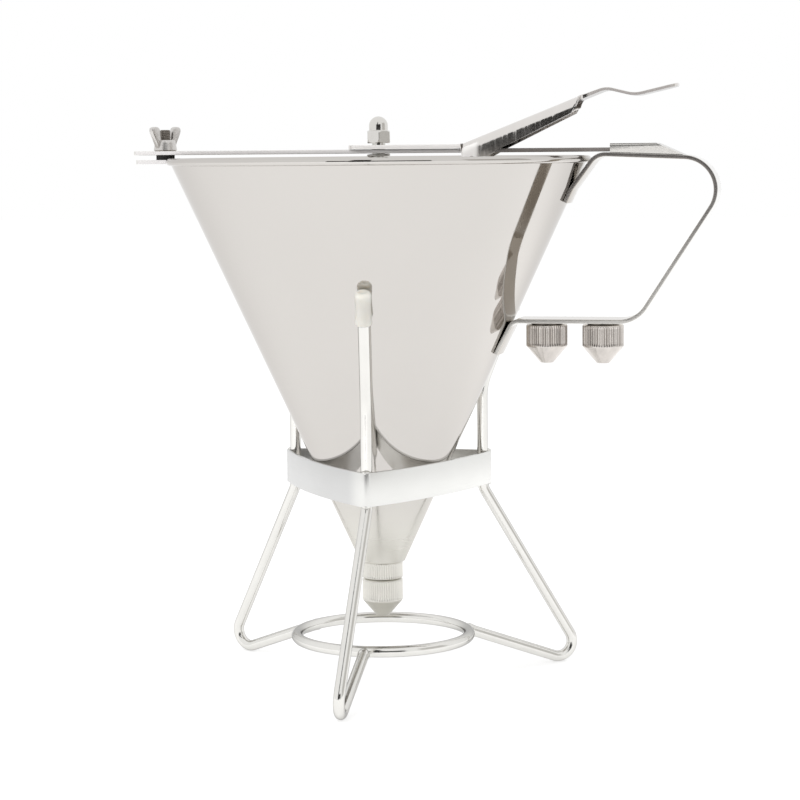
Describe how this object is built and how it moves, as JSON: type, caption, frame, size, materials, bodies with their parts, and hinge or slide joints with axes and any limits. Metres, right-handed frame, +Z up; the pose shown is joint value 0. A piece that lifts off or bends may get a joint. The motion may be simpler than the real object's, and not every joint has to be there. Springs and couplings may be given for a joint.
{
  "type": "batter dispenser",
  "caption": "Sheet steel batter funnel with a thumb lever that lifts a sprung valve rod, a strip handle with spare nozzles under it, and a wire stand with three legs.",
  "frame": {"origin": "on the table, under the axis of the funnel, at the centre of the stand", "axes": "+Z up along the funnel's axis, +X along the handle, +Y across the handle"},
  "size_m": [0.2652, 0.191, 0.2681],
  "materials": {
    "polished_steel": "polished",
    "handle_steel": "polished",
    "lever_steel": "pressed and polished",
    "turned_steel": "turned",
    "fastener_steel": "bright",
    "rod_steel": "drawn",
    "spring_steel": "drawn",
    "black_rubber": "matt",
    "chrome_strip": "bright",
    "chrome_wire": "bright",
    "pale_vinyl": "satin"
  },
  "bodies": {
    "stand": {"leg_front": "chrome_wire", "leg_right": "chrome_wire", "leg_left": "chrome_wire", "seat_band": "chrome_strip", "base_ring": "chrome_wire", "tip_cap_front": "pale_vinyl", "tip_cap_right": "pale_vinyl", "tip_cap_left": "pale_vinyl"},
    "funnel": {"funnel_cone": "polished_steel", "outlet_socket": "turned_steel", "rim_lug": "handle_steel", "clamp_stud": "fastener_steel", "spacer_ring": "black_rubber", "handle": "handle_steel", "bridge_keeper": "handle_steel", "inner_nozzle_boss": "turned_steel", "outer_nozzle_boss": "turned_steel", "bridge_bar": "handle_steel", "hinge_barrel": "fastener_steel", "return_spring": "spring_steel"},
    "lever": {"lever": "lever_steel", "pivot_pin": "fastener_steel"},
    "valve": {"valve_rod": "rod_steel", "valve_plug": "rod_steel", "stop_collar": "fastener_steel", "cap_nut": "fastener_steel"},
    "wing_nut": {"wing_nut": "fastener_steel"},
    "nozzle": {"nozzle": "turned_steel"},
    "spare_nozzle_inner": {"spare_nozzle_inner": "turned_steel"},
    "spare_nozzle_outer": {"spare_nozzle_outer": "turned_steel"}
  },
  "joints": [
    {"name": "funnel_lift", "type": "slide", "parent": "stand", "child": "funnel", "axis": [0, 0, 1], "range_m": [0, 0.16]},
    {"name": "lever_press", "type": "hinge", "parent": "funnel", "child": "lever", "pos_m": [0.044, 0, 0.2351], "axis": [0, 1, 0], "range_deg": [0, 14]},
    {"name": "valve_lift", "type": "slide", "parent": "funnel", "child": "valve", "axis": [0, 0, 1], "range_m": [0, 0.0121], "stiffness_N_per_m": 300, "springref_m": -0.02, "deforming": ["return_spring"]},
    {"name": "wing_nut_turn", "type": "hinge", "parent": "funnel", "child": "wing_nut", "pos_m": [-0.0995, 0, 0.2399], "axis": [0, 0, 1], "continuous": true},
    {"name": "nozzle_turn", "type": "hinge", "parent": "funnel", "child": "nozzle", "pos_m": [0, 0, 0.0454], "axis": [0, 0, 1], "continuous": true},
    {"name": "spare_nozzle_inner_turn", "type": "hinge", "parent": "funnel", "child": "spare_nozzle_inner", "pos_m": [0.07584, 0, 0.162], "axis": [0, 0, 1], "continuous": true},
    {"name": "spare_nozzle_outer_turn", "type": "hinge", "parent": "funnel", "child": "spare_nozzle_outer", "pos_m": [0.10094, 0, 0.162], "axis": [0, 0, 1], "continuous": true}
  ],
  "couplings": [
    {"joint": "valve_lift", "follows": "lever_press", "m_per_rad": 0.0493}
  ]
}
